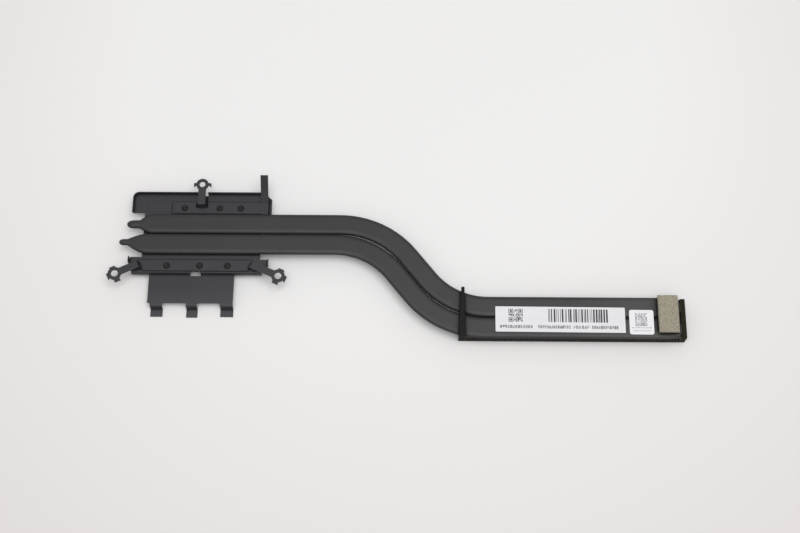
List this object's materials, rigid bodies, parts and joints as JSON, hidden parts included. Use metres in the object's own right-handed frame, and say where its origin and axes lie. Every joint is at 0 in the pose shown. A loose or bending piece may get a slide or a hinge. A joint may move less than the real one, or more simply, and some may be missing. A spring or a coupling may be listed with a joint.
{
  "type": "laptop cooling heatsink",
  "caption": "Flat laptop heatsink: painted heat pipes swing in an S-bend from a sprung base plate with a copper contact block to a stack of thin cooling fins.",
  "frame": {"origin": "middle of the copper block's contact face", "axes": "+X along the pipes towards the fin stack, +Y towards the rear screw ring, +Z away from the board"},
  "size_m": [0.2339, 0.0679, 0.0122],
  "materials": {
    "copper": "machined copper, satin",
    "black_sheet": "matte black paint",
    "black_pipe": "satin black paint",
    "black_spring": "matte black paint",
    "black_rivet": "matte black paint",
    "black_fin": "matte black paint on aluminium",
    "foam": "open-cell foam, matte",
    "conductive_cloth": "plated woven cloth over foam",
    "label_paper": "coated label, slight sheen",
    "thermal_pad": "soft silicone, matte"
  },
  "bodies": {
    "root": {"base_plate": "black_sheet", "contact_block": "copper", "emi_gasket": "conductive_cloth", "end_seal": "foam", "fin_stack": "black_fin", "front_heat_pipe": "black_pipe", "front_rivet_1": "black_rivet", "front_rivet_2": "black_rivet", "front_rivet_3": "black_rivet", "front_spring": "black_spring", "hook_plate_pad": "thermal_pad", "left_seal": "foam", "main_label": "label_paper", "rear_heat_pipe": "black_pipe", "rear_rivet_1": "black_rivet", "rear_rivet_2": "black_rivet", "rear_rivet_3": "black_rivet", "rear_spring": "black_spring", "rear_tray_pad": "foam", "small_label": "label_paper"}
  },
  "joints": []
}
